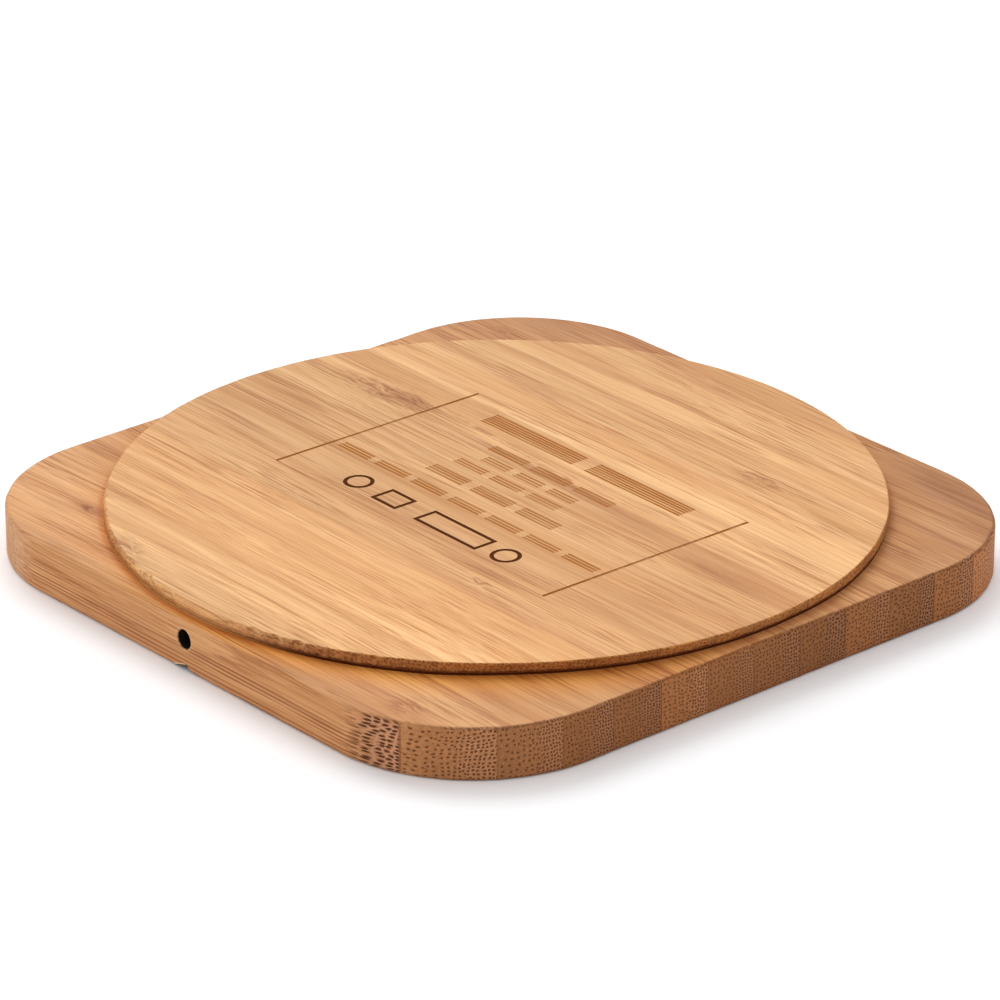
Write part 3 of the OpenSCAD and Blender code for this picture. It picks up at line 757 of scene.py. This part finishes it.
# Low tone, high tone and roughness of each speckled slot, with what else sets it apart
SPECKLED = {
    "dark_adhesive": ((0.020, 0.010, 0.006), (0.045, 0.022, 0.012), (0.6, 0.85),
                      {"scale": 1.6, "stretch": (0.4, 1, 2), "relief": 0.6, "depth": 0.00012}),
    "white_film": ((0.72, 0.71, 0.66), (0.82, 0.81, 0.77), (0.35, 0.5), {"scale": 1.2}),
    "ferrite_grey": ((0.030, 0.030, 0.034), (0.062, 0.062, 0.068), (0.5, 0.7),
                     {"metallic": 0.2, "scale": 5.0, "relief": 0.35}),
    "tin_plate": ((0.58, 0.59, 0.61), (0.76, 0.77, 0.79), (0.22, 0.42), {"metallic": 1.0, "scale": 4.0}),
    "black_epoxy": ((0.012, 0.012, 0.014), (0.030, 0.030, 0.033), (0.45, 0.62),
                    {"scale": 8.0, "relief": 0.3}),
    "tan_ceramic": ((0.36, 0.24, 0.14), (0.46, 0.32, 0.20), (0.35, 0.5), {"scale": 5.0}),
    "white_ceramic": ((0.74, 0.73, 0.69), (0.84, 0.83, 0.80), (0.25, 0.4), {"scale": 4.0}),
    "lamp_resin": ((0.78, 0.66, 0.30), (0.88, 0.80, 0.48), (0.12, 0.22), {"scale": 3.0, "coat": 0.4}),
    "socket_steel": ((0.50, 0.50, 0.51), (0.68, 0.68, 0.69), (0.22, 0.38),
                     {"metallic": 1.0, "scale": 2.5, "stretch": (1, 6, 1), "relief": 0.2}),
    "gold_plate": ((0.72, 0.48, 0.16), (0.90, 0.66, 0.28), (0.18, 0.3), {"metallic": 1.0, "scale": 5.0}),
}


def dress_inner_parts():
    looks = {slot: speckled(f"{slot}_look", low, high, roughness, **rest)
             for slot, (low, high, roughness, rest) in SPECKLED.items()}
    looks["litz_copper"] = wound_copper("litz_copper_look")
    looks["green_board"] = circuit_mask("green_board_look")
    for row in frame["record"]["subparts"]:
        if row["material_slot"] in looks:
            slots = frame["nodes"][row["node"]].data.materials
            slots.clear()
            slots.append(looks[row["material_slot"]])


# ---- Mesh helpers, all in millimetres ----

def soften(piece, degrees):
    mesh = piece.data
    mesh.polygons.foreach_set("use_smooth", [True] * len(mesh.polygons))
    mesh.set_sharp_from_angle(angle=math.radians(degrees))


def mesh_object(name, points, faces, smooth_angle=None):
    mesh = bpy.data.meshes.new(name)
    mesh.from_pydata([Vector(p) * MM for p in points], [], faces)
    mesh.validate()
    piece = bpy.data.objects.new(name, mesh)
    bpy.context.scene.collection.objects.link(piece)
    if smooth_angle is not None:
        soften(piece, smooth_angle)
    return piece


def band(count, a, b):
    """Quads between two loops of points, which start at a and at b."""
    return [(a + i, a + (i + 1) % count, b + (i + 1) % count, b + i) for i in range(count)]


def skin(loops):
    """Points and faces of a closed solid through loops of equal count, from the bottom to the top."""
    count = len(loops[0])
    points = [p for loop in loops for p in loop]
    faces = [tuple(reversed(range(count)))]
    for level in range(len(loops) - 1):
        faces += band(count, level * count, (level + 1) * count)
    last = (len(loops) - 1) * count
    faces.append(tuple(range(last, last + count)))
    return points, faces


def tube(loops):
    """Points and faces of a closed ring: each loop joins the next, and the last one joins the first."""
    count = len(loops[0])
    points = [p for loop in loops for p in loop]
    faces = []
    for level in range(len(loops)):
        faces += band(count, level * count, (level + 1) % len(loops) * count)
    return points, faces


def upright_prism(outline, low, high):
    """Solid on a closed outline of x and y, from low to high in z."""
    return skin([[(x, y, z) for x, y in outline] for z in (low, high)])


def level_prism(outline, low, high):
    """Solid on a closed outline of x and z, from low to high in y."""
    return skin([[(x, y, z) for x, z in outline] for y in (high, low)])


def circle(radius, count, at=(0, 0)):
    turn = 2 * math.pi / count
    return [(at[0] + radius * math.cos(i * turn), at[1] + radius * math.sin(i * turn)) for i in range(count)]


def rectangle(x0, y0, x1, y1):
    return [(x0, y0), (x1, y0), (x1, y1), (x0, y1)]


def merged(solids):
    points, faces = [], []
    for solid_points, solid_faces in solids:
        shift = len(points)
        points += solid_points
        faces += [tuple(i + shift for i in face) for face in solid_faces]
    return points, faces


def carve(piece, cutters):
    """Cuts each solid out of the piece and leaves one plain mesh."""
    tools = []
    for i, (points, faces) in enumerate(cutters):
        tool = mesh_object(f"{piece.name}_cut{i}", points, faces)
        tools.append(tool)
        step = piece.modifiers.new(tool.name, "BOOLEAN")
        step.operation = "DIFFERENCE"
        step.solver = "EXACT"
        step.object = tool
    graph = bpy.context.evaluated_depsgraph_get()
    result = bpy.data.meshes.new_from_object(piece.evaluated_get(graph))
    piece.modifiers.clear()
    old = piece.data
    piece.data = result
    bpy.data.meshes.remove(old)
    for tool in tools:
        mesh = tool.data
        bpy.data.objects.remove(tool)
        bpy.data.meshes.remove(mesh)


def settle(piece, slot, *nodes):
    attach(piece, "root")
    if nodes:
        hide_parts(*nodes)


# ---- The body ----

def rounding(ease, steps=6):
    """Pairs (how far in, how far up) that turn from a level face into an upright one."""
    quarter = math.pi / 2
    return [(ease * (1 - math.sin(quarter * i / steps)), ease * (1 - math.cos(quarter * i / steps)))
            for i in range(steps + 1)]


def square_marks(corner_steps=44, side_steps=70):
    """Marks round the body: a point one corner radius inside the wall, and the direction out to the wall."""
    centre = HALF - CORNER_R
    marks = []
    for k in range(4):
        start = math.pi / 2 * k
        cx = centre * (1 if k in (0, 3) else -1)
        cy = centre * (1 if k in (0, 1) else -1)
        for i in range(corner_steps + 1):
            angle = start + math.pi / 2 * i / corner_steps
            marks.append((cx, cy, math.cos(angle), math.sin(angle)))
        angle = start + math.pi / 2
        along = (-math.sin(angle), math.cos(angle))
        for i in range(1, side_steps):
            step = 2 * centre * i / side_steps
            marks.append((cx + along[0] * step, cy + along[1] * step, math.cos(angle), math.sin(angle)))
    return marks


def edge_wear(spot):
    return max(0.05 * (0.5 + noise.noise(spot * 0.45)) + 0.03 * noise.noise(spot * 2.2), 0)


def body_loop(marks, inset, z):
    """One loop round the body. Loops on the rounded edges are worn a little further in."""
    loop = []
    for cx, cy, nx, ny in marks:
        reach = CORNER_R - inset
        x, y = cx + nx * reach, cy + ny * reach
        wear = edge_wear(Vector((x, y, z))) if 0 < inset <= BODY_EASE else 0
        loop.append((x - nx * wear, y - ny * wear, z))
    return loop


def body_cutters():
    """Pocket, cable bay, inlet slot, sight hole and the nick in the lower edge."""
    flat = SLOT_HALF - SLOT_R
    slot = [(flat + SLOT_R * math.cos(a), PORT_Z + SLOT_R * math.sin(a))
            for a in (math.pi * (i / 24 - 0.5) for i in range(25))]
    slot += [(-x, 2 * PORT_Z - z) for x, z in slot]
    sight = [[(x, y, z) for x, z in circle(r, 48, (0, PORT_Z))]
             for y, r in ((-37, SIGHT_R), (0.16 - HALF, SIGHT_R), (-0.1 - HALF, SIGHT_R + 0.24))]
    nick = [(-2.0, -0.1), (2.0, -0.1), (0.9, 0.42), (0.4, 0.8), (-0.5, 0.62), (-1.4, 0.34)]
    return [
        upright_prism(circle(POCKET_R, 180), CHARGE_WALL, BODY_H + 1),
        upright_prism(rectangle(-BAY_HALF, 0, BAY_HALF, BAY_REACH), CHARGE_WALL, BODY_H + 1),
        level_prism(slot, BAY_REACH - 1, HALF + 1),
        skin(sight),
        level_prism(nick, -HALF - 0.5, -HALF + NICK_DEPTH),
    ]


def make_body(look):
    curve = rounding(BODY_EASE)
    inner, wall = BODY_EASE + 0.3, BODY_EASE + 0.15
    profile = [(inner, 0.0)] + curve + [(0.0, wall), (0.0, BODY_H - wall)]
    profile += [(inset, BODY_H - up) for inset, up in reversed(curve)] + [(inner, BODY_H)]
    marks = square_marks()
    body = mesh_object("bamboo_body", *skin([body_loop(marks, inset, z) for inset, z in profile]))
    carve(body, body_cutters())
    soften(body, 24)
    body.data.materials.append(look)
    settle(body, "bamboo_block", "body")


def make_splinter(look):
    """A thin curl of bamboo that still hangs over the left part of the nick."""
    count = 26
    points, faces = [], []
    for i in range(count + 1):
        f = i / count
        x = -2.05 + 2.75 * f
        z = 0.14 + 0.62 * math.sin(1.75 * f) ** 1.4 + 0.012 * math.sin(9 * f)
        lift = 0.02 + 0.16 * math.sin(math.pi * f)
        thick = 0.16 * (1 - 0.75 * f) * (0.35 + 0.65 * min(1.0, 4 * f)) + 0.03
        y = -HALF + 0.12 - lift
        section = ((0.0, 0.0), (0.24, 0.03), (0.24, thick), (0.0, thick * 0.9))
        points += [(x, y + dy, z + dz) for dy, dz in section]
    for i in range(count):
        faces += band(4, 4 * i, 4 * i + 4)
    faces += [(3, 2, 1, 0), tuple(range(4 * count, 4 * count + 4))]
    splinter = mesh_object("nick_splinter", points, faces, 50)
    splinter.data.materials.append(look)
    settle(splinter, "bamboo_block")


# ---- The engraved label ----

def on_label(x, y):
    """A place on the label, turned and moved to where it lies on the cover."""
    cos, sin = math.cos(LABEL_TURN), math.sin(LABEL_TURN)
    return LABEL_AT[0] + cos * x - sin * y, LABEL_AT[1] + sin * x + cos * y


def groove(x0, y0, x1, y1, depth=ENGRAVE):
    corners = [on_label(x, y) for x, y in rectangle(x0, y0, x1, y1)]
    return upright_prism(corners, COVER_HIGH.z - depth, COVER_HIGH.z + 1)


def ring_groove(cx, cy, outer, inner):
    low, high = COVER_HIGH.z - ENGRAVE, COVER_HIGH.z + 1
    return tube([[(x, y, z) for x, y in circle(r, 48, on_label(cx, cy))]
                 for r, z in ((inner, low), (outer, low), (outer, high), (inner, high))])


def label_frame():
    """Two upright lines, and two hairlines along the label."""
    w, h = (size / 2 for size in LABEL_SIZE)
    lines = [groove(-w, -h, -w + FRAME_LINE, h), groove(w - FRAME_LINE, -h, w, h)]
    return lines + [groove(-w + 0.5, y - 0.06, w - 0.5, y + 0.06, SHALLOW) for y in (-h, h)]


def label_bars():
    """Blank hatched bars in place of wording, in rows of centre x, centre y, width, height and bar count."""
    rows = [
        (0, 11.4, 34.6, 2.8, 2), (0, 6.2, 21, 1.6, 3), (-0.8, 3.6, 15.8, 1.6, 3), (-1.6, 1, 17.7, 1.6, 3),
        (0, -2.4, 22, 2, 3), (0, -6.3, 44.8, 1.5, 7),
    ]
    bars = []
    for cx, cy, width, height, count in rows:
        gap = 0.8 * height
        bar = (width - (count - 1) * gap) / count
        lines = int(height / HATCH_PITCH)
        for i in range(count):
            x0 = cx - width / 2 + i * (bar + gap)
            for k in range(lines):
                y0 = cy - height / 2 + (k + 0.5) * height / lines
                bars.append(groove(x0, y0 - HATCH_LINE / 2, x0 + bar, y0 + HATCH_LINE / 2, SHALLOW))
    return bars


def label_boxes():
    """Outlines of a small box and a long box between the two rings."""
    grooves = []
    for cx, w, h in ((-6.6, 4.4, 3.4), (4.2, 10.8, 3.4)):
        x0, x1, y0, y1 = cx - w / 2, cx + w / 2, MARKS_Y - h / 2, MARKS_Y + h / 2
        grooves += [groove(x0, y0, x0 + BOX_LINE, y1), groove(x1 - BOX_LINE, y0, x1, y1)]
        inner0, inner1 = x0 + BOX_LINE + 0.01, x1 - BOX_LINE - 0.01
        grooves += [groove(inner0, y0, inner1, y0 + BOX_LINE), groove(inner0, y1 - BOX_LINE, inner1, y1)]
    return grooves


# ---- The cover and its glue ----

def ahead(angle):
    """From 0 on the -X side of the cover to 1 on its +X side, as toward_front does for the looks."""
    across = EDGE_R * (FRONT_WAY[0] * math.cos(angle) + FRONT_WAY[1] * math.sin(angle))
    return min(1.0, max(0.0, (across - FRONT_START) / (FRONT_FULL - FRONT_START)))


def undercut(angle):
    """How far the edge slopes in toward its bottom, most round the front of the cover."""
    return UNDERCUT * min(1.0, max(0.0, (math.cos(angle + math.radians(16)) - 0.83) / 0.10))


def eased(gap, ease):
    """How far a rounded edge lies in from the wall at a given height from the level face."""
    rest = max(0.0, 1 - gap / ease)
    return ease * (1 - math.sqrt(1 - rest * rest))


def fraying(angle, z):
    """How far the rim is roughened in, with small chips where it frays toward -Y."""
    spot = Vector((RIM_R * math.cos(angle), RIM_R * math.sin(angle), z))
    frayed = max(0.0, math.cos(angle + math.radians(98))) ** 3
    rough = (0.03 + 0.08 * frayed) * (0.5 + noise.noise(spot * 0.9))
    rough += (0.05 + 0.05 * frayed) * abs(noise.noise(spot * 3.1 + Vector((9, 0, 0))))
    chip = noise.noise(Vector((spot.x * 0.35, spot.y * 1.3, 4.0)))
    rough += max(0.0, chip - 0.25) * 1.1 * frayed * (1.0 if z > COVER_LOW.z + 0.6 else 0.3)
    return max(0.0, rough)


def rim_inset(angle, z):
    """How far the rim lies in at a height: sharp and undercut at the front, worn round on the -X side."""
    bottom, high = COVER_LOW.z - LIP, COVER_HIGH.z
    sharp_ease, worn_ease, bottom_ease = 0.16, 0.60, 0.14
    sharp = eased(high - z, sharp_ease) + undercut(angle) * (high - z) / (high - bottom)
    worn = 0.7 * eased(high - z, worn_ease)
    return eased(z - bottom, bottom_ease) + worn + (sharp - worn) * ahead(angle) + fraying(angle, z)


def cover_loop(z, inset=None):
    """One loop round the cover, at an inset of its own or on the rim."""
    count = 900
    loop = []
    for i in range(count):
        angle = 2 * math.pi * i / count
        reach = RIM_R - (rim_inset(angle, z) if inset is None else inset)
        loop.append((COVER_AT[0] + reach * math.cos(angle), COVER_AT[1] + reach * math.sin(angle), z))
    return loop


def make_cover(look):
    low, high = COVER_LOW.z, COVER_HIGH.z
    heights = [low - LIP + up for up in (0.0, 0.01, 0.04, 0.08, 0.14, 0.30, 0.45, 0.60)]
    heights += [high - down for down in (0.60, 0.48, 0.36, 0.26, 0.16, 0.09, 0.04, 0.01, 0.0)]
    loops = [cover_loop(low, 1.4), cover_loop(low, 1.0)]
    loops += [cover_loop(z) for z in heights]
    loops.append(cover_loop(high, 1.4))
    cover = mesh_object("bamboo_cover", *skin(loops))
    rings = [ring_groove(x, MARKS_Y, 1.8, 1.3) for x in (-12.9, 13)]
    carve(cover, [merged(label_frame() + label_bars() + label_boxes()), *rings])
    soften(cover, 30)
    cover.data.materials.append(look)
    settle(cover, "bamboo_disc", "base_cover")


def make_cover_tape(look):
    """The adhesive ring, pressed out toward the rim of the cover. Round the +X side its face stands as the
    painted shadow line under the rim.
    """
    low, high = (corner.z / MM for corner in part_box("cover_tape"))
    count = 360
    loops = []
    for outside, z in ((0, low), (1, low), (1, high - LIP), (0, high)):
        loop = []
        for i in range(count):
            angle = 2 * math.pi * i / count
            cos, sin = math.cos(angle), math.sin(angle)
            bead = 0.06 * noise.noise(Vector((9 * cos, 9 * sin, 2.0)))
            outer = RIM_R - 0.04 - 0.10 * ahead(angle) - undercut(angle) + bead
            reach = outer if outside else GLUE_INNER_R
            loop.append((COVER_AT[0] * outside + reach * cos, COVER_AT[1] * outside + reach * sin, z))
        loops.append(loop)
    glue = mesh_object("glue_with_painted_rim_shadow", *tube(loops), 40)
    glue.data.materials.append(look)
    settle(glue, "dark_adhesive", "cover_tape")


make_camera()
make_floor()
make_studio_dome()
make_key_light()
dress_inner_parts()
make_body(bamboo("bamboo_block_look", BODY_LOOK))
make_splinter(speckled("raw_fibre_look", (0.62, 0.42, 0.24), (0.84, 0.64, 0.42), (0.6, 0.8), scale=3.0,
                       stretch=(0.2, 1, 2), relief=0.4, depth=0.00004))
make_cover(bamboo("bamboo_disc_look", COVER_LOOK))
make_cover_tape(glue_with_painted_rim_shadow())
